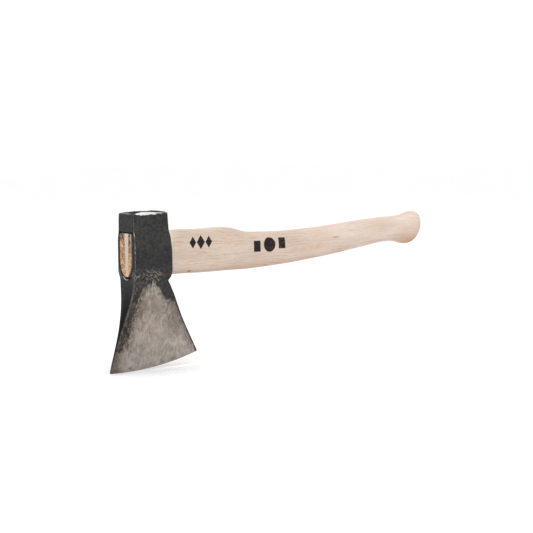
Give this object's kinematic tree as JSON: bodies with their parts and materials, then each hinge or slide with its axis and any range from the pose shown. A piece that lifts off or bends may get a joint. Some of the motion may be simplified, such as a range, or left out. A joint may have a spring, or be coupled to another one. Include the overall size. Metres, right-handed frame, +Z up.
{
  "type": "carving hatchet",
  "caption": "Short carving hatchet: forged head with a square poll and a flared, curved blade on a curved wooden haft with a rounded knob, held by a wooden wedge.",
  "frame": {"origin": "centre of the eye, in the plane of the head's lower end face, where the haft leaves the head", "axes": "+X along the haft towards its butt, +Z up towards the poll with the cutting edge at -Z, +Y across the thickness"},
  "size_m": [0.426, 0.035, 0.1641],
  "materials": {
    "forged_steel": "black forge scale, blade ground to bare steel",
    "haft_wood": "oiled pale beech",
    "wedge_wood": "plain pale hardwood"
  },
  "bodies": {
    "root": {"axe_head": "forged_steel", "haft": "haft_wood", "eye_wedge": "wedge_wood"}
  },
  "joints": []
}
